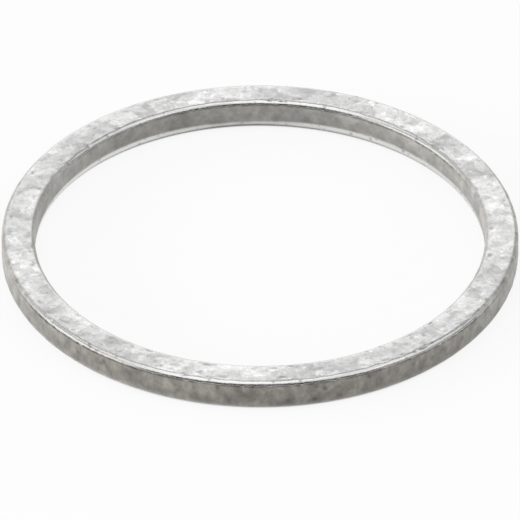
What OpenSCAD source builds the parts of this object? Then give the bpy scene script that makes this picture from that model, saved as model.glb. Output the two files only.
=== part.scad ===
// Flat metal sealing ring for a screwed joint: one solid ring of square section, with
// two flat sealing faces, a plain bore that slides over the thread and four round edges.

/* [Ring] */
// Outside diameter of the thread that the ring slides over
thread_d = 26.4; // [8:0.1:60]
// Room between the thread and the bore, on each side
thread_gap = 0.1; // [0.05:0.05:0.5]
// Radial width of the ring, from the bore to the outside
ring_w = 2; // [1:0.1:6]
// Thickness of the ring, from one sealing face to the other
ring_t = 2; // [1:0.1:6]

/* [Edges] */
// Radius of the two edges round the upper sealing face
top_edge_r = 0.35; // [0.1:0.05:1]
// Radius of the two edges round the lower sealing face, which the blanking tool rolls over
foot_edge_r = 0.6; // [0.1:0.05:1]

/* [Hidden] */
$fn = 180;

bore_r = thread_d / 2 + thread_gap;
outer_r = bore_r + ring_w;

// A round edge takes at most this share of the width and of the thickness, so that a
// flat land is always left on both faces and both walls.
edge_share = 0.45;
edge_limit = edge_share * min(ring_w, ring_t);
top_r = min(top_edge_r, edge_limit);
foot_r = min(foot_edge_r, edge_limit);

// The flat-sided core of the section: its corners are the points where the round
// edges run out into the faces and the walls.
module section_core() {
    polygon([
        [bore_r + foot_r, 0],
        [outer_r - foot_r, 0],
        [outer_r, foot_r],
        [outer_r, ring_t - top_r],
        [outer_r - top_r, ring_t],
        [bore_r + top_r, ring_t],
        [bore_r, ring_t - top_r],
        [bore_r, foot_r],
    ]);
}

// The two round edges at one height of the section, as discs that touch the bore's
// wall and the outer wall.
module edge_pair(height, edge_r) {
    for (x = [bore_r + edge_r, outer_r - edge_r])
        translate([x, height]) circle(r = edge_r);
}

module ring_section() {
    section_core();
    edge_pair(foot_r, foot_r);
    edge_pair(ring_t - top_r, top_r);
}

module sealing_ring() {
    color("silver") rotate_extrude() ring_section();
}

sealing_ring();
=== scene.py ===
"""Looks of a flat aluminium sealing ring: its tumbled surface, its finish and a plain studio.

The file is laid out as an add-on and run as a script. Lengths are in metres, as in the frame.
"""

import math

import bpy
import numpy as np
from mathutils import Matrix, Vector


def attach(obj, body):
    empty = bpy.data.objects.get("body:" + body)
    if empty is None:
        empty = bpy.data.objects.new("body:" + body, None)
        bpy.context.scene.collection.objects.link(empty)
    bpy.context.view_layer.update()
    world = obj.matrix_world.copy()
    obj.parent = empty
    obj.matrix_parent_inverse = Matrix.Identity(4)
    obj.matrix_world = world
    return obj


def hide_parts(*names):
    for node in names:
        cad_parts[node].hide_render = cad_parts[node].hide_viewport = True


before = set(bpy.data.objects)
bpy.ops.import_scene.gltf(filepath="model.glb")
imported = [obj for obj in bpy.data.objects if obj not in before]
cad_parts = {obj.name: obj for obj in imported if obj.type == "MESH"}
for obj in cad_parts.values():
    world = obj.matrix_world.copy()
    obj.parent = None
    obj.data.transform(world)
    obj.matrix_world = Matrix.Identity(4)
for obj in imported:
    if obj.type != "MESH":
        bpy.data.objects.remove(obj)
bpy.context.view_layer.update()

bl_info = {
    "name": "Sealing Ring",
    "version": (1, 0, 0),
    "blender": (4, 5, 0),
    "location": "View3D > Sidebar > Sealing Ring",
    "description": "Dresses a flat aluminium sealing ring and sets a plain studio round it",
    "category": "Add Mesh",
}

NODE = "sealing_ring"
BODY = "root"
MM = 0.001
TURN = 2 * math.pi

# The photograph's frame: its width, the ring's outer radius across the view, and how far the
# ring's origin lies above the middle, all in pixels.
FRAME_PX = 520
RING_PX = 258.42
ORIGIN_ABOVE_CENTRE_PX = 1.43
SENSOR_MM = 36.0

# Shares of the scattered points that have a dent or a pit, and how far the finish strays at its
# borders, as a part of the outward normal.
DENT_SHARE = 0.7
PIT_SHARE = 0.5
BORDER_STRAY = 0.025

# How much less the dents, facets and pits sink each finish than the faces.
OUTER_WALL_HELD = 0.4
BORE_WALL_HELD = 0.85
BURNISH_HELD = 0.3

# How much of the upper edges' burnish is taken away at the ring's left and right ends, leaving those
# edges darker as painted shade.
END_LOSS = 0.75

# The bore's lower edge at the back, made narrower and darker as painted shade: its middle and its
# reach round the ring, how far the burnish's upper border drops and its lower border lifts there, in
# lower edge radii, and how much of the burnish is taken away.
BACK_MIDDLE = math.radians(95)
BACK_REACH = math.radians(18)
BACK_UPPER_DROP = 0.2
BACK_LOWER_LIFT = 0.42
BACK_LOSS = 0.4

# Where the floor under the rounded foot turns white, in lower edge radii beyond the wall: as the
# camera sees it, and as metal mirrors it.
WHITE_FROM_SEEN = (-0.75, -0.5)
WHITE_FROM_MIRRORED = (-0.4, 0.15)

# The floor's half side in metres. The room's level is ROOM_DIM, rising to ROOM_BRIGHT towards
# the azimuth and elevation of ROOM_BRIGHT_SIDE, in degrees.
FLOOR_HALF_SIDE = 2.0
ROOM_DIM = 0.05
ROOM_BRIGHT = 0.8
ROOM_BRIGHT_SIDE = (190, 0)

# Name, azimuth and elevation in degrees, distance, width and height in metres, level, and
# whether metal mirrors the lamp.
LAMPS = (
    ("softbox_key", -5, 76, 0.5, 0.95, 0.64, 0.83, True),
    ("softbox_core", -25, 73, 0.5, 0.36, 0.56, 0.44, True),
    ("softbox_left", -78, 18, 0.55, 0.5, 0.28, 0.95, True),
    ("softbox_right", 80, 36, 0.55, 0.5, 0.3, 0.6, True),
    ("softbox_back", 185, 28, 0.6, 0.6, 0.36, 0.48, True),
    ("fill_left", -88, 29, 0.6, 0.9, 0.6, 0.22, True),
    ("fill_right", 88, 29, 0.6, 0.9, 0.6, 0.20, True),
    ("bounce_left", -78, 10, 0.5, 0.7, 0.17, 9.4, False),
    ("bounce_right", 82, 10, 0.5, 0.7, 0.17, 4.0, False),
)


def cad_sizes():
    """Radii, thickness and edge radii of the ring, read from the vertices of its solid.

    The bore and the outside are the least and the greatest distance from the axis. An edge's
    radius is how far the flat land of its face ends short of the outside.
    """
    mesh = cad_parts[NODE].data
    flat = np.empty(len(mesh.vertices) * 3, np.float32)
    mesh.vertices.foreach_get("co", flat)
    x, y, z = flat.reshape(-1, 3).astype(float).T
    radius = np.hypot(x, y)
    flat_within = 0.001 * MM
    upper_land = radius[z > z.max() - flat_within]
    lower_land = radius[z < z.min() + flat_within]
    return {
        "outer_r": float(radius.max()),
        "bore_r": float(radius.min()),
        "thick": float(z.max() - z.min()),
        "top_edge_r": float(radius.max() - upper_land.max()),
        "foot_edge_r": float(radius.max() - lower_land.max()),
    }


CAD = cad_sizes()


class RingShape(bpy.types.PropertyGroup):
    """Sizes of the ring and of the marks that tumbling left on it."""

    outer_r: bpy.props.FloatProperty(
        name="Outer radius", description="From the axis to the outer wall",
        default=CAD["outer_r"], subtype="DISTANCE", unit="LENGTH")
    bore_r: bpy.props.FloatProperty(
        name="Bore radius", description="From the axis to the bore's wall",
        default=CAD["bore_r"], subtype="DISTANCE", unit="LENGTH")
    thick: bpy.props.FloatProperty(
        name="Thickness", description="From the lower sealing face to the upper one",
        default=CAD["thick"], subtype="DISTANCE", unit="LENGTH")
    top_edge_r: bpy.props.FloatProperty(
        name="Upper edge radius", description="Radius of the edges round the upper face",
        default=CAD["top_edge_r"], subtype="DISTANCE", unit="LENGTH")
    foot_edge_r: bpy.props.FloatProperty(
        name="Lower edge radius", description="Radius of the edges round the lower face",
        default=CAD["foot_edge_r"], subtype="DISTANCE", unit="LENGTH")
    grid_step: bpy.props.FloatProperty(
        name="Grid step", description="Spacing of the surface's grid",
        default=0.09 * MM, subtype="DISTANCE", unit="LENGTH")
    arc_steps: bpy.props.IntProperty(
        name="Edge steps", description="Steps of the grid across each round edge", default=11)
    sway_depth: bpy.props.FloatProperty(
        name="Sway", description="Height of the slow unevenness of the faces",
        default=0.004 * MM, subtype="DISTANCE", unit="LENGTH")
    dent_depth: bpy.props.FloatProperty(
        name="Dent depth", description="Depth of the deepest round dents",
        default=0.016 * MM, subtype="DISTANCE", unit="LENGTH")
    dent_size: bpy.props.FloatProperty(
        name="Dent size", description="Radius of the widest round dents",
        default=0.5 * MM, subtype="DISTANCE", unit="LENGTH")
    facet_depth: bpy.props.FloatProperty(
        name="Facet depth", description="Depth of the shallow bowls that meet in crisp ridges",
        default=0.012 * MM, subtype="DISTANCE", unit="LENGTH")
    facet_size: bpy.props.FloatProperty(
        name="Facet size", description="Spacing of those bowls",
        default=0.8 * MM, subtype="DISTANCE", unit="LENGTH")
    pit_depth: bpy.props.FloatProperty(
        name="Pit depth", description="Depth of the deepest small pits",
        default=0.012 * MM, subtype="DISTANCE", unit="LENGTH")
    pit_size: bpy.props.FloatProperty(
        name="Pit size", description="Radius of the widest small pits",
        default=0.3 * MM, subtype="DISTANCE", unit="LENGTH")
    nick_depth: bpy.props.FloatProperty(
        name="Nick depth", description="Depth of the deepest nicks in the edges",
        default=0.045 * MM, subtype="DISTANCE", unit="LENGTH")
    nick_count: bpy.props.IntProperty(
        name="Nicks", description="Number of nicks in each edge", default=80)
    seed: bpy.props.IntProperty(
        name="Seed", description="Start of the random draws", default=27)


class RingFinish(bpy.types.PropertyGroup):
    """Colours and gloss of the tumbled aluminium."""

    face_color: bpy.props.FloatVectorProperty(
        name="Faces", description="Colour of the sealing faces",
        default=(0.795, 0.793, 0.79), subtype="COLOR", size=3)
    # The walls' colours are darker than the faces' partly as a dull finish and partly as painted
    # shade.
    outer_color: bpy.props.FloatVectorProperty(
        name="Outer wall", description="Colour of the dull outer wall",
        default=(0.194, 0.183, 0.159), subtype="COLOR", size=3)
    bore_color: bpy.props.FloatVectorProperty(
        name="Bore", description="Colour of the smooth bore",
        default=(0.3, 0.292, 0.272), subtype="COLOR", size=3)
    edge_color: bpy.props.FloatVectorProperty(
        name="Edges", description="Colour of the edges, which tumbling burnished",
        default=(0.73, 0.727, 0.716), subtype="COLOR", size=3)
    face_rough: bpy.props.FloatProperty(
        name="Face roughness", description="Roughness of the faces", default=0.31, subtype="FACTOR")
    wall_rough: bpy.props.FloatProperty(
        name="Wall roughness", description="Roughness of the walls", default=0.45, subtype="FACTOR")
    edge_rough: bpy.props.FloatProperty(
        name="Edge roughness", description="Roughness of the edges", default=0.24, subtype="FACTOR")
    wall_metal: bpy.props.FloatProperty(
        name="Wall metal", description="How metallic the walls are under their dull skin",
        default=0.3, subtype="FACTOR")
    outer_haze: bpy.props.FloatProperty(
        name="Outer haze", description="Strength of the dusty sheen on the outer wall",
        default=0.5, subtype="FACTOR")
    bore_haze: bpy.props.FloatProperty(
        name="Bore haze", description="Strength of the dusty sheen on the bore's wall",
        default=0.15, subtype="FACTOR")


class RingStudio(bpy.types.PropertyGroup):
    """Camera and floor."""

    elevation: bpy.props.FloatProperty(
        name="Elevation", description="Height of the camera above the horizon",
        default=math.radians(35.62), subtype="ANGLE", unit="ROTATION")
    distance: bpy.props.FloatProperty(
        name="Distance", description="Distance of the camera, in outer radii", default=60.0)
    floor_color: bpy.props.FloatVectorProperty(
        name="Floor", description="Colour of the floor", default=(0.8, 0.8, 0.8),
        subtype="COLOR", size=3)
    floor_lift: bpy.props.FloatProperty(
        name="Floor lift", description="Share of plain white in the floor as it is seen",
        default=0.88, subtype="FACTOR")


def section_outline(shape):
    """The ring's section as a closed run of points, clockwise from the upper outer edge.

    Each corner is a quarter arc about its own centre, and a straight land or wall joins its
    end to the next corner's start. Returns radius, height, the outward normal's radial and
    upward parts, and the length along the outline, with the outline's whole length.
    """
    top, foot = shape.top_edge_r, shape.foot_edge_r
    corners = [
        (shape.outer_r - top, shape.thick - top, top),
        (shape.outer_r - foot, foot, foot),
        (shape.bore_r + foot, foot, foot),
        (shape.bore_r + top, shape.thick - top, top),
    ]
    runs = []
    for k, (radius, height, edge) in enumerate(corners):
        start = math.pi / 2 * (1 - k)
        angle = start - math.pi / 2 * np.arange(shape.arc_steps) / shape.arc_steps
        arc = np.stack([radius + edge * np.cos(angle), height + edge * np.sin(angle)])
        runs.append((arc, angle))
        leave = start - math.pi / 2
        next_radius, next_height, next_edge = corners[(k + 1) % len(corners)]
        outward = np.array([math.cos(leave), math.sin(leave)])
        begin = np.array([radius, height]) + edge * outward
        end = np.array([next_radius, next_height]) + next_edge * outward
        steps = max(4, round(float(np.hypot(*(end - begin))) / shape.grid_step))
        share = np.arange(steps) / steps
        straight = begin[:, None] + (end - begin)[:, None] * share
        runs.append((straight, np.full(steps, leave)))
    points = np.concatenate([run for run, angle in runs], axis=1)
    angle = np.concatenate([angle for run, angle in runs])
    hops = np.hypot(*(np.roll(points, -1, axis=1) - points))
    along = np.concatenate([[0.0], np.cumsum(hops)[:-1]])
    return points[0], points[1], np.cos(angle), np.sin(angle), along, float(hops.sum())


def sway(turn, along, rng, waves=40):
    """Slow unevenness: a sum of cosines of random direction and phase, each a whole number of
    waves round the ring and round the section, so that it closes on itself."""
    total = np.zeros(np.broadcast(turn, along).shape)
    for _ in range(waves):
        round_ring = rng.integers(12, 90)
        round_section = rng.integers(-5, 6)
        phase = rng.uniform(0, TURN)
        total += np.cos(round_ring * turn + round_section * TURN * along + phase)
    return total / math.sqrt(waves)


def scattered(turn, along, ring_length, section_length, spacing, rng):
    """One random point to a cell of a grid that is wrapped round the surface. Gives, for the nine
    cells about each place, the squared distance to the cell's point and the cell's indices."""
    cells_round = max(3, int(ring_length / spacing))
    cells_across = max(3, int(section_length / spacing))
    size = (cells_round, cells_across)
    place_round = rng.uniform(0, 1, size)
    place_across = rng.uniform(0, 1, size)
    at_round = turn / TURN * cells_round
    at_across = along * cells_across
    cell_round = np.floor(at_round).astype(int)
    cell_across = np.floor(at_across).astype(int)
    found = []
    for i in (-1, 0, 1):
        for j in (-1, 0, 1):
            near = ((cell_round + i) % cells_round, (cell_across + j) % cells_across)
            off_round = (at_round - cell_round - i - place_round[near]) * ring_length / cells_round
            off_across = at_across - cell_across - j - place_across[near]
            off_across = off_across * section_length / cells_across
            found.append((off_round**2 + off_across**2, near))
    return found, size


def dents(turn, along, ring_length, section_length, widest, deepest, share, rng):
    """Depth of round dents at scattered points. A dent's depth falls from its middle as
    (1 - (d/a)^2)^2 to zero at its radius a. Where dents overlap the deeper one counts."""
    near_points, size = scattered(turn, along, ring_length, section_length, widest, rng)
    radius = widest * rng.uniform(0.35, 1.0, size)
    depth = deepest * rng.uniform(0.2, 1.0, size) * (rng.uniform(0, 1, size) < share)
    found = np.zeros(np.broadcast(turn, along).shape)
    for distance2, near in near_points:
        bowl = depth[near] * np.clip(1 - distance2 / radius[near] ** 2, 0, None) ** 2
        found = np.maximum(found, bowl)
    return found


def facets(turn, along, ring_length, section_length, spacing, deepest, rng):
    """Depth of shallow bowls that meet in crisp ridges: the squared distance to the nearest
    scattered point, taken from its greatest value and scaled to the depth."""
    near_points, size = scattered(turn, along, ring_length, section_length, spacing, rng)
    nearest = np.full(np.broadcast(turn, along).shape, np.inf)
    for distance2, near in near_points:
        nearest = np.minimum(nearest, distance2)
    return deepest * (1 - np.clip(nearest / (0.5 * spacing**2), 0, 1))


def nicks(turn, along, edges, ring_length, section_length, deepest, count, rng):
    """Depth of short nicks along the edges: bowls of random length and width, each centred at a
    random place within an edge's span, where the deeper of two that overlap counts."""
    found = np.zeros(np.broadcast(turn, along).shape)
    for low, high in edges:
        for _ in range(count):
            middle = rng.uniform(0, TURN)
            across = rng.uniform(low, high)
            half_length = rng.uniform(0.1, 0.5) * MM
            half_width = rng.uniform(0.07, 0.18) * MM
            depth = deepest * rng.uniform(0.15, 1.0) ** 1.5
            off_round = (turn - middle + math.pi) % TURN - math.pi
            off_round = off_round / TURN * ring_length / half_length
            off_across = ((along - across + 0.5) % 1.0 - 0.5) * section_length / half_width
            bowl = np.clip(1 - off_round**2 - off_across**2, 0, None) ** 2
            found = np.maximum(found, depth * bowl)
    return found


def ramp(values, low, high):
    """A smooth step from 0 at low to 1 at high."""
    share = np.clip((values - low) / (high - low), 0, 1)
    return share * share * (3 - 2 * share)


def finish_zones(turn, rise, out_r, out_z, uneven):
    """Where each finish lies, from the place round the ring, the height in lower edge radii, the
    outward normal's radial and upward parts, and how far the borders stray.

    The outer wall and the bore take over from a face as the normal turns level. The burnish is a band
    high on the upper edges, with a dark line below it that is painted shade. Both fade towards the
    ring's left and right ends, and the lost burnish leaves those edges darker as painted shade. The
    bore's lower edge is burnished as well, in a band that is narrower at the back and darker there as
    painted shade.
    """
    level = np.abs(out_r)
    wall = ramp(level, 0.15, 0.6)
    # Painted shade: the upper edges lose burnish towards the left and right ends.
    kept = 1 - END_LOSS * ramp(np.abs(np.cos(turn)), 0.8, 0.95)
    upper_edge = ramp(level, 0.08, 0.20) * (1 - ramp(level + uneven, 0.89, 0.96)) * (out_z > 0)
    upper_edge = upper_edge * kept
    # A dark line below the upper edges' burnish: painted shade.
    painted_dark_line = ramp(out_z, 0.03, 0.10) * (1 - ramp(out_z - uneven, 0.27, 0.40))
    painted_dark_line = painted_dark_line * kept
    # Painted shade: the bore's lower edge is narrower and darker at the back.
    at_back = np.exp(-((turn - BACK_MIDDLE) / BACK_REACH) ** 2)
    upper_drop = BACK_UPPER_DROP * at_back
    lower_lift = BACK_LOWER_LIFT * at_back
    lower_edge = ramp(-rise, -1.25 + upper_drop, -1.0 + upper_drop)
    lower_edge = lower_edge * (1 - ramp(-rise, -0.25 - lower_lift, -lower_lift))
    lower_edge = lower_edge * (1 - BACK_LOSS * at_back) * (out_r < 0)
    return {"outer_wall": wall * (out_r > 0), "bore_wall": wall * (out_r < 0),
            "burnish": upper_edge + lower_edge, "painted_dark_line": painted_dark_line}


def ring_surface(shape):
    """The tumbled ring as a grid of points: the section turned about the axis, sunk along its
    outward normal by sway, dents, facets, pits and nicks. Also gives the finish of each point.

    The walls and the burnished edges are sunk less than the faces, and nicks lie on the upper
    edges alone, about the line where each edge meets its face.
    """
    radius, height, out_r, out_z, along, section_length = section_outline(shape)
    mean_r = (shape.outer_r + shape.bore_r) / 2
    ring_length = TURN * mean_r
    steps = round(ring_length / shape.grid_step)
    turn = (np.arange(steps) / steps * TURN)[:, None]
    border_rng = np.random.default_rng(shape.seed + 1)
    uneven = BORDER_STRAY * sway(3 * turn, np.zeros_like(turn), border_rng)
    zones = finish_zones(turn, height / shape.foot_edge_r, out_r, out_z, uneven)
    share = (along / section_length)[None, :]
    rng = np.random.default_rng(shape.seed)
    slow = sway(turn, share, rng)
    beaten = dents(turn, share, ring_length, section_length, shape.dent_size, shape.dent_depth,
                   DENT_SHARE, rng)
    beaten += facets(turn, share, ring_length, section_length, shape.facet_size,
                     shape.facet_depth, rng)
    beaten += dents(turn, share, ring_length, section_length, shape.pit_size, shape.pit_depth,
                    PIT_SHARE, rng)
    worked = 1 - OUTER_WALL_HELD * zones["outer_wall"] - BORE_WALL_HELD * zones["bore_wall"]
    worked = worked - BURNISH_HELD * zones["burnish"]
    upper_arc = math.pi / 2 * shape.top_edge_r / section_length
    face_width = shape.outer_r - shape.bore_r - 2 * shape.top_edge_r
    bore_arc_end = 1 - face_width / section_length
    stray = 0.4 * upper_arc
    edges = ((-stray, stray), (bore_arc_end - stray, bore_arc_end + stray))
    nicked = nicks(turn, share, edges, ring_length, section_length, shape.nick_depth,
                   shape.nick_count, rng)
    sunk = shape.sway_depth * (slow.max() - slow) + beaten * np.clip(worked, 0.1, 1) + nicked
    far = radius - sunk * out_r
    points = np.stack([far * np.cos(turn), far * np.sin(turn), height - sunk * out_z], axis=-1)
    finish = {name: np.broadcast_to(values, points.shape[:2]) for name, values in zones.items()}
    finish["nick"] = nicked / shape.nick_depth
    return points, finish


def grid_mesh(name, points):
    """A closed mesh from a grid of points that wraps in both directions, four corners to a face."""
    rows, columns = points.shape[:2]
    index = np.arange(rows * columns).reshape(rows, columns)
    next_row = np.roll(index, -1, axis=0)
    next_column = np.roll(index, -1, axis=1)
    across = np.roll(next_row, -1, axis=1)
    faces = np.stack([index, next_column, across, next_row], axis=-1).reshape(-1, 4)
    mesh = bpy.data.meshes.new(name)
    mesh.from_pydata(points.reshape(-1, 3).tolist(), [], faces.tolist())
    mesh.polygons.foreach_set("use_smooth", np.ones(len(faces), bool))
    mesh.update()
    return mesh


def add_attribute(mesh, name, values):
    """Stores one number per point on the mesh for its material to read."""
    layer = mesh.attributes.new(name, "FLOAT", "POINT")
    layer.data.foreach_set("value", np.ascontiguousarray(values, np.float32).ravel())


def add_node(tree, kind, values=None, **settings):
    """A new node with its settings and its unlinked inputs set. A value that is a socket is linked."""
    node = tree.nodes.new(kind)
    for key, value in settings.items():
        setattr(node, key, value)
    for key, value in (values or {}).items():
        if isinstance(value, bpy.types.NodeSocket):
            tree.links.new(value, node.inputs[key])
        else:
            node.inputs[key].default_value = value
    return node


def blend_number(tree, factor, low, high):
    """A number that goes from low to high as factor goes from 0 to 1."""
    node = add_node(tree, "ShaderNodeMix", {0: factor, 2: low, 3: high}, data_type="FLOAT")
    return node.outputs[0]


def blend_color(tree, factor, low, high):
    """A colour that goes from low to high as factor goes from 0 to 1."""
    node = add_node(tree, "ShaderNodeMix", {0: factor, 6: low, 7: high}, data_type="RGBA")
    return node.outputs[2]


def maths(tree, operation, first, second=0.0, use_clamp=False):
    """One arithmetic step, held between 0 and 1 where use_clamp is set."""
    node = add_node(tree, "ShaderNodeMath", {0: first, 1: second}, operation=operation,
                    use_clamp=use_clamp)
    return node.outputs[0]


def spread(tree, value, low, high, to_low, to_high):
    """Maps a number from one range to another, held at both ends."""
    node = add_node(tree, "ShaderNodeMapRange", {0: value, 1: low, 2: high, 3: to_low, 4: to_high})
    return node.outputs[0]


def noise(tree, place, scale, detail=2.0, distortion=0.0):
    """A smooth random number about 0.5."""
    return add_node(tree, "ShaderNodeTexNoise", {
        "Vector": place, "Scale": scale, "Detail": detail, "Distortion": distortion}).outputs[0]


def cells(tree, place, scale):
    """Random cells: the distance from each cell's point and the cell's own random number."""
    node = add_node(tree, "ShaderNodeTexVoronoi", {"Vector": place, "Scale": scale}, feature="F1")
    number = add_node(tree, "ShaderNodeSeparateColor", {0: node.outputs["Color"]}).outputs[0]
    return node.outputs["Distance"], number


def specks(tree, place, scale, radius, share):
    """A mask of small soft spots, one in that share of the random cells."""
    distance, number = cells(tree, place, scale)
    spot = spread(tree, distance, 0.4 * radius, radius, 1.0, 0.0)
    return maths(tree, "MULTIPLY", spot, maths(tree, "LESS_THAN", number, share))


def product(tree, factors):
    """All the factors multiplied."""
    total = factors[0]
    for factor in factors[1:]:
        total = maths(tree, "MULTIPLY", total, factor)
    return total


def face_tone(tree, place):
    """Lightness of the tumbled faces: wide blotches, crisp patches, short strokes, dark specks and
    bright specks that are painted glints.
    """
    shift = add_node(tree, "ShaderNodeTexNoise", {"Vector": place, "Scale": 1.6, "Detail": 2.0})
    bent = add_node(tree, "ShaderNodeVectorMath", {
        0: shift.outputs["Color"], 1: (0.8, 0.8, 0.8), 2: place}, operation="MULTIPLY_ADD")
    bent = bent.outputs[0]
    wide_cells = cells(tree, bent, 0.62)[1]
    small_cells = cells(tree, bent, 1.5)[1]
    blotches = spread(tree, noise(tree, place, 0.45), 0.3, 0.7, 0.89, 1.09)
    clouds = spread(tree, noise(tree, place, 0.95, 1.0, 0.6), 0.3, 0.7, 0.91, 1.07)
    wide_patches = spread(tree, wide_cells, 0.0, 1.0, 0.82, 1.11)
    small_patches = spread(tree, small_cells, 0.0, 1.0, 0.83, 1.11)
    strokes = spread(tree, noise(tree, place, 2.6, 4.0, 1.5), 0.25, 0.75, 0.81, 1.15)
    dark_specks = spread(tree, specks(tree, bent, 1.9, 0.36, 0.09), 0.0, 1.0, 1.0, 0.7)
    # The bright specks are painted glints.
    painted_glints = spread(tree, specks(tree, bent, 2.4, 0.4, 0.3), 0.0, 1.0, 1.0, 1.24)
    return product(tree, [blotches, clouds, wide_patches, small_patches, strokes, dark_specks,
                          painted_glints])


def outer_tone(tree, place):
    """Lightness of the outer wall: upright streaks, stains and specks."""
    upright = add_node(tree, "ShaderNodeMapping", {"Vector": place, "Scale": (1, 1, 0.6)})
    upright = upright.outputs[0]
    blotches = spread(tree, noise(tree, place, 0.4), 0.3, 0.7, 0.86, 1.12)
    stains = spread(tree, noise(tree, place, 1.3, 4.0, 0.5), 0.25, 0.75, 0.56, 1.42)
    streaks = spread(tree, noise(tree, upright, 3.4, 4.0, 0.3), 0.3, 0.7, 0.78, 1.22)
    patches = spread(tree, cells(tree, upright, 1.5)[1], 0.0, 1.0, 0.86, 1.13)
    dark_specks = spread(tree, specks(tree, place, 1.6, 0.34, 0.35), 0.0, 1.0, 1.0, 0.5)
    return product(tree, [blotches, stains, streaks, patches, dark_specks])


def bore_tone(tree, place):
    """Lightness of the bore: stains, fine grain, patches, faint turning lines and specks."""
    level = add_node(tree, "ShaderNodeMapping", {"Vector": place, "Scale": (0.1, 0.1, 8)})
    level = level.outputs[0]
    stains = spread(tree, noise(tree, place, 0.9, 3.0), 0.3, 0.7, 0.74, 1.22)
    fine = spread(tree, noise(tree, place, 3.2, 3.0), 0.3, 0.7, 0.88, 1.12)
    patches = spread(tree, cells(tree, place, 1.1)[1], 0.0, 1.0, 0.88, 1.09)
    lines = spread(tree, noise(tree, level, 1.0, 2.0), 0.3, 0.7, 0.975, 1.025)
    dark_specks = spread(tree, specks(tree, place, 1.4, 0.25, 0.25), 0.0, 1.0, 1.0, 0.75)
    return product(tree, [stains, fine, patches, lines, dark_specks])


def tumbled_aluminium(finish):
    """Pale mottled faces with bright specks that are painted glints, dull streaked outer wall,
    smoother bore, burnished edges and a painted dark line of shade below them. The walls have a dull,
    partly metallic skin with a dusty sheen; their darker colours are partly that dull finish and
    partly painted shade, and they darken towards the foot as painted shade. Nicks are darkened as
    painted shade too. Patterns are laid out in millimetres: a scale of 2 has about two features to the
    millimetre."""
    material = bpy.data.materials.new("tumbled_aluminium")
    material.use_nodes = True
    tree = material.node_tree
    tree.nodes.clear()
    metres = add_node(tree, "ShaderNodeTexCoord").outputs["Object"]
    per_metre = 1 / MM
    place = add_node(tree, "ShaderNodeMapping", {
        "Vector": metres, "Scale": (per_metre, per_metre, per_metre)})
    place = place.outputs[0]
    height = add_node(tree, "ShaderNodeSeparateXYZ", {0: place}).outputs["Z"]
    zones = {name: add_node(tree, "ShaderNodeAttribute", attribute_name=name).outputs["Fac"]
             for name in ("outer_wall", "bore_wall", "burnish", "painted_dark_line", "nick")}
    outer, bore, burnish = zones["outer_wall"], zones["bore_wall"], zones["burnish"]
    wall = maths(tree, "ADD", outer, bore)
    dull_wall = maths(tree, "MULTIPLY", wall, maths(tree, "SUBTRACT", 1.0, burnish))

    tone = blend_number(tree, outer, face_tone(tree, place), outer_tone(tree, place))
    tone = blend_number(tree, bore, tone, bore_tone(tree, place))
    # Painted shade: the bare walls darken towards the foot.
    painted_low_shade = spread(tree, height, 0.4, 1.7, 0.82, 1.07)
    tone = maths(tree, "MULTIPLY", tone, blend_number(tree, dull_wall, 1.0, painted_low_shade))
    ticks = spread(tree, specks(tree, place, 2.6, 0.4, 0.35), 0.0, 1.0, 1.0, 0.6)
    tone = blend_number(tree, burnish, tone, ticks)
    # The dark line below the burnish, broken up by noise, is painted shade; it also takes the faces'
    # roughness and full metal.
    broken = spread(tree, noise(tree, place, 2.2, 2.0), 0.35, 0.65, 0.55, 1.2)
    painted_shade_line = maths(tree, "MULTIPLY", zones["painted_dark_line"], broken, use_clamp=True)
    tone = maths(tree, "MULTIPLY", tone, spread(tree, painted_shade_line, 0.0, 1.0, 1.0, 0.8))
    # Painted shade: the nicks are darkened.
    tone = maths(tree, "MULTIPLY", tone, spread(tree, zones["nick"], 0.1, 0.6, 1.0, 0.82))
    color = blend_color(tree, outer, (*finish.face_color, 1), (*finish.outer_color, 1))
    color = blend_color(tree, bore, color, (*finish.bore_color, 1))
    color = blend_color(tree, burnish, color, (*finish.edge_color, 1))
    toned = add_node(tree, "ShaderNodeVectorMath", {0: color}, operation="SCALE")
    tree.links.new(tone, toned.inputs["Scale"])

    grain = noise(tree, place, 7.0, 4.0)
    rough = blend_number(tree, wall, finish.face_rough, finish.wall_rough)
    rough = blend_number(tree, burnish, rough, finish.edge_rough)
    rough = maths(tree, "ADD", rough, spread(tree, grain, 0.3, 0.7, -0.04, 0.04))
    rough = blend_number(tree, painted_shade_line, rough, finish.face_rough)
    skin = maths(tree, "MULTIPLY", dull_wall, maths(tree, "SUBTRACT", 1.0, painted_shade_line))
    metal = spread(tree, skin, 0.0, 1.0, 1.0, finish.wall_metal)
    haze = blend_number(tree, bore, finish.outer_haze, finish.bore_haze)
    haze = maths(tree, "MULTIPLY", haze, skin)
    bump = add_node(tree, "ShaderNodeBump", {
        "Height": grain, "Strength": 0.25, "Distance": 0.02 * MM})
    shader = add_node(tree, "ShaderNodeBsdfPrincipled", {
        "Base Color": toned.outputs[0], "Metallic": metal, "Roughness": rough,
        "Sheen Weight": haze, "Sheen Roughness": 0.5, "Normal": bump.outputs[0]})
    output = add_node(tree, "ShaderNodeOutputMaterial")
    tree.links.new(shader.outputs[0], output.inputs["Surface"])
    return material


class RING_OT_tumbled_ring(bpy.types.Operator):
    """Makes the tumbled aluminium ring that stands for the plain solid"""

    bl_idname = "ring.tumbled_ring"
    bl_label = "Tumbled Ring"

    def execute(self, context):
        shape = context.scene.ring_shape
        points, finish = ring_surface(shape)
        mesh = grid_mesh("tumbled_ring", points)
        for name, values in finish.items():
            add_attribute(mesh, name, values)
        mesh.materials.append(tumbled_aluminium(context.scene.ring_finish))
        ring = bpy.data.objects.new("tumbled_ring", mesh)
        context.scene.collection.objects.link(ring)
        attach(ring, BODY)
        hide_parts(NODE)
        return {"FINISHED"}


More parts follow.
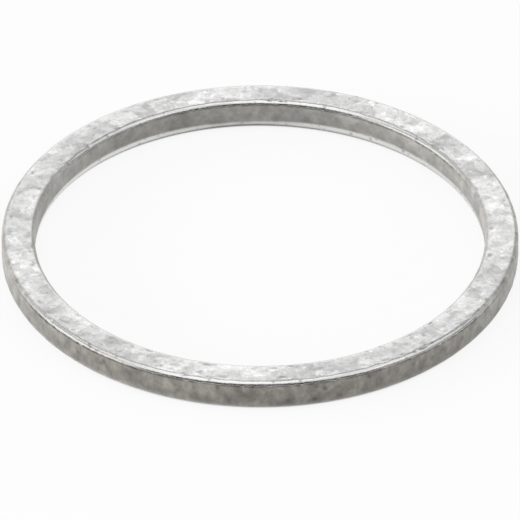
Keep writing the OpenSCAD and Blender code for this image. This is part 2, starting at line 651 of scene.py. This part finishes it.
def direction(azimuth, elevation):
    """The unit vector towards a place round the ring: azimuth 0 is at the camera's side, 90 on the
    right, and elevation is above the floor, both in degrees."""
    a, e = math.radians(azimuth), math.radians(elevation)
    return Vector((math.sin(a) * math.cos(e), -math.cos(a) * math.cos(e), math.sin(e)))


def add_softbox(name, azimuth, elevation, distance, width, height, level, mirrored):
    """A rectangular lamp that faces the ring. A level of 1 looks white in a mirror. A lamp that
    isn't mirrored lights matt surfaces alone."""
    lamp = bpy.data.lights.new(name, "AREA")
    lamp.shape = "RECTANGLE"
    lamp.size = width
    lamp.size_y = height
    lamp.energy = level * math.pi * width * height
    box = bpy.data.objects.new(name, lamp)
    towards = direction(azimuth, elevation)
    box.location = towards * distance
    box.rotation_euler = towards.to_track_quat("Z", "Y").to_euler()
    box.visible_glossy = mirrored
    bpy.context.scene.collection.objects.link(box)


def studio_world(dim, bright, bright_side):
    """A plain room, dim on one half and growing brighter towards the bright side."""
    world = bpy.data.worlds.new("studio_room")
    bpy.context.scene.world = world
    world.use_nodes = True
    tree = world.node_tree
    tree.nodes.clear()
    towards = add_node(tree, "ShaderNodeTexCoord").outputs["Generated"]
    side = add_node(tree, "ShaderNodeVectorMath", {0: towards, 1: bright_side},
                    operation="DOT_PRODUCT").outputs["Value"]
    level = spread(tree, side, 0.0, 1.0, dim, bright)
    shade = add_node(tree, "ShaderNodeBackground", {"Color": (1, 1, 1, 1), "Strength": level})
    output = add_node(tree, "ShaderNodeOutputWorld")
    tree.links.new(shade.outputs[0], output.inputs["Surface"])


def pale_floor(color, lift, shape):
    """A matt pale floor. Towards the camera, and in what metal mirrors, a share of it is plain
    white, so that it looks white and keeps the ring's shadow. In the narrow gap under the ring's
    rounded foot it stays plain, so that the gap is as dark as its light makes it."""
    material = bpy.data.materials.new("pale_floor")
    material.use_nodes = True
    tree = material.node_tree
    tree.nodes.clear()
    matt = add_node(tree, "ShaderNodeBsdfDiffuse", {"Color": (*color, 1)})
    white = add_node(tree, "ShaderNodeEmission", {"Color": (1, 1, 1, 1), "Strength": 1.0})
    path = add_node(tree, "ShaderNodeLightPath").outputs
    mirrored = maths(tree, "MAXIMUM", path["Is Glossy Ray"], path["Is Transmission Ray"])
    place = add_node(tree, "ShaderNodeTexCoord").outputs["Object"]
    radius = add_node(tree, "ShaderNodeVectorMath", {0: place}, operation="LENGTH").outputs["Value"]
    half_width = (shape.outer_r - shape.bore_r) / 2
    off_middle = maths(tree, "SUBTRACT", radius, shape.bore_r + half_width)
    off_middle = maths(tree, "ABSOLUTE", off_middle)
    beyond_wall = maths(tree, "SUBTRACT", off_middle, half_width)
    beyond_wall = maths(tree, "DIVIDE", beyond_wall, shape.foot_edge_r)
    to_camera = maths(tree, "MULTIPLY", path["Is Camera Ray"],
                      spread(tree, beyond_wall, *WHITE_FROM_SEEN, 0.0, 1.0))
    to_metal = maths(tree, "MULTIPLY", mirrored,
                     spread(tree, beyond_wall, *WHITE_FROM_MIRRORED, 0.0, 1.0))
    share = maths(tree, "MULTIPLY", maths(tree, "MAXIMUM", to_camera, to_metal), lift)
    both = add_node(tree, "ShaderNodeMixShader", {0: share, 1: matt.outputs[0], 2: white.outputs[0]})
    output = add_node(tree, "ShaderNodeOutputMaterial")
    tree.links.new(both.outputs[0], output.inputs["Surface"])
    return material


def add_floor(studio, shape, half_side):
    """A flat square that the ring lies on."""
    corners = [(-1, -1), (1, -1), (1, 1), (-1, 1)]
    mesh = bpy.data.meshes.new("studio_floor")
    mesh.from_pydata([(x * half_side, y * half_side, 0.0) for x, y in corners], [], [(0, 1, 2, 3)])
    mesh.materials.append(pale_floor(studio.floor_color, studio.floor_lift, shape))
    floor = bpy.data.objects.new("studio_floor", mesh)
    bpy.context.scene.collection.objects.link(floor)


def add_camera(studio, outer_r):
    """A long lens at the photograph's elevation, set so that the outer radius spans RING_PX."""
    data = bpy.data.cameras.new("photo_camera")
    data.sensor_width = SENSOR_MM
    data.lens = SENSOR_MM * RING_PX * studio.distance / FRAME_PX
    data.clip_end = 4 * studio.distance * outer_r
    camera = bpy.data.objects.new("photo_camera", data)
    back = direction(0, math.degrees(studio.elevation))
    up = Vector((0, math.sin(studio.elevation), math.cos(studio.elevation)))
    aim = -up * (ORIGIN_ABOVE_CENTRE_PX / RING_PX * outer_r)
    camera.location = aim + back * studio.distance * outer_r
    camera.rotation_euler = back.to_track_quat("Z", "Y").to_euler()
    bpy.context.scene.collection.objects.link(camera)
    bpy.context.scene.camera = camera


class RING_OT_studio(bpy.types.Operator):
    """Sets the floor, the lamps, the room and the camera"""

    bl_idname = "ring.studio"
    bl_label = "Studio"

    def execute(self, context):
        scene = context.scene
        studio = scene.ring_studio
        scene.view_settings.view_transform = "Standard"
        add_floor(studio, scene.ring_shape, FLOOR_HALF_SIDE)
        for lamp in LAMPS:
            add_softbox(*lamp)
        studio_world(ROOM_DIM, ROOM_BRIGHT, direction(*ROOM_BRIGHT_SIDE))
        add_camera(studio, scene.ring_shape.outer_r)
        return {"FINISHED"}


class RING_PT_sealing_ring(bpy.types.Panel):
    """Lists the ring's operators and settings"""

    bl_label = "Sealing Ring"
    bl_space_type = "VIEW_3D"
    bl_region_type = "UI"
    bl_category = "Sealing Ring"

    def draw(self, context):
        layout = self.layout
        for group in (context.scene.ring_shape, context.scene.ring_finish,
                      context.scene.ring_studio):
            for name in group.__annotations__:
                layout.prop(group, name)
        layout.operator(RING_OT_tumbled_ring.bl_idname)
        layout.operator(RING_OT_studio.bl_idname)


GROUPS = {"ring_shape": RingShape, "ring_finish": RingFinish, "ring_studio": RingStudio}
CLASSES = (*GROUPS.values(), RING_OT_tumbled_ring, RING_OT_studio, RING_PT_sealing_ring)


def register():
    for cls in CLASSES:
        bpy.utils.register_class(cls)
    for name, group in GROUPS.items():
        setattr(bpy.types.Scene, name, bpy.props.PointerProperty(type=group))


def unregister():
    for name in GROUPS:
        delattr(bpy.types.Scene, name)
    for cls in reversed(CLASSES):
        bpy.utils.unregister_class(cls)


def main():
    """Makes the ring and the studio."""
    register()
    bpy.ops.ring.tumbled_ring()
    bpy.ops.ring.studio()


if __name__ == "__main__":
    main()
